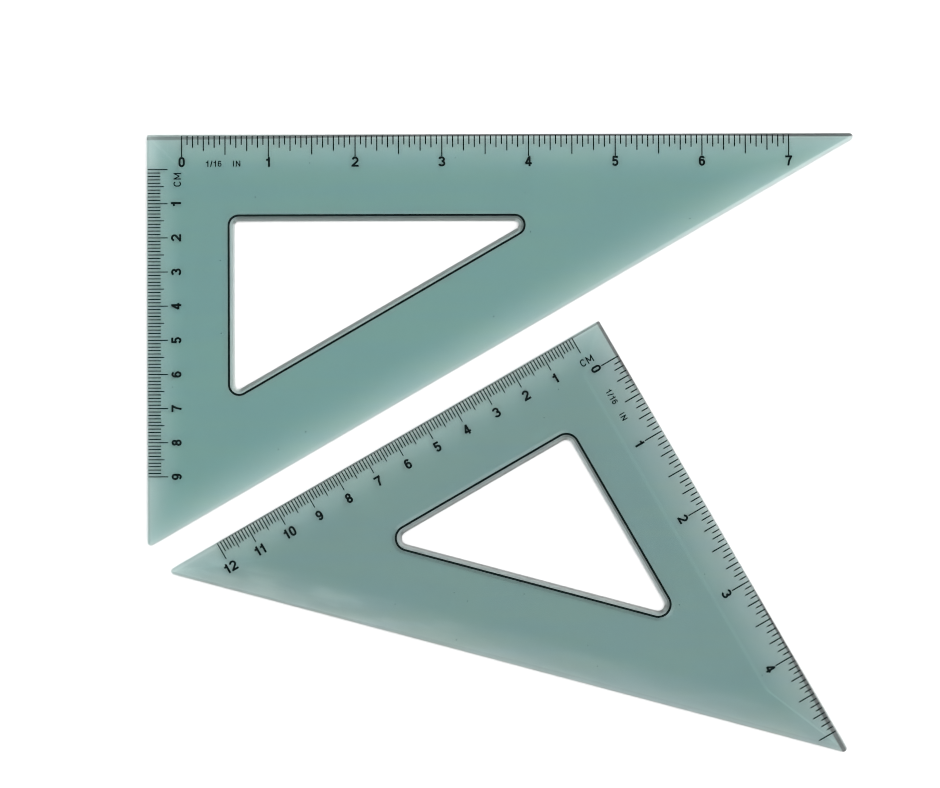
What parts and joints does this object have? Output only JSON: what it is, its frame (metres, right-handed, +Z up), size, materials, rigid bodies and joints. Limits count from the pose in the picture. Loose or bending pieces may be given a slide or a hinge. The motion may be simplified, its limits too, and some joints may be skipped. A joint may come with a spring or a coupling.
{
  "type": "drafting triangle",
  "caption": "Tinted transparent drafting triangles lying side by side, with bevelled graduated edges and a rimmed triangular finger opening, for ruling lines at set angles.",
  "frame": {"origin": "on the table under the middle of the pair's outline", "axes": "+X along the 30-60-90's inch leg from its square corner, +Y from the 45-45-90 towards that leg, +Z up out of the printed faces"},
  "size_m": [0.2068, 0.1812, 0.0021],
  "materials": {
    "tinted_plastic": "clear smoky teal moulding, polished faces",
    "black_ink": "printed black ink film"
  },
  "bodies": {
    "triangle_30_60": {"plate_30_60": "tinted_plastic", "inch_scale_30_60": "black_ink", "cm_scale_30_60": "black_ink", "opening_line_30_60": "black_ink"},
    "triangle_45": {"plate_45": "tinted_plastic", "inch_scale_45": "black_ink", "cm_scale_45": "black_ink", "opening_line_45": "black_ink"}
  },
  "joints": [
    {"name": "edge_slide", "type": "slide", "parent": "triangle_30_60", "child": "triangle_45", "axis": [0.866, 0.5, 0], "range_m": [0, 0.094]}
  ]
}
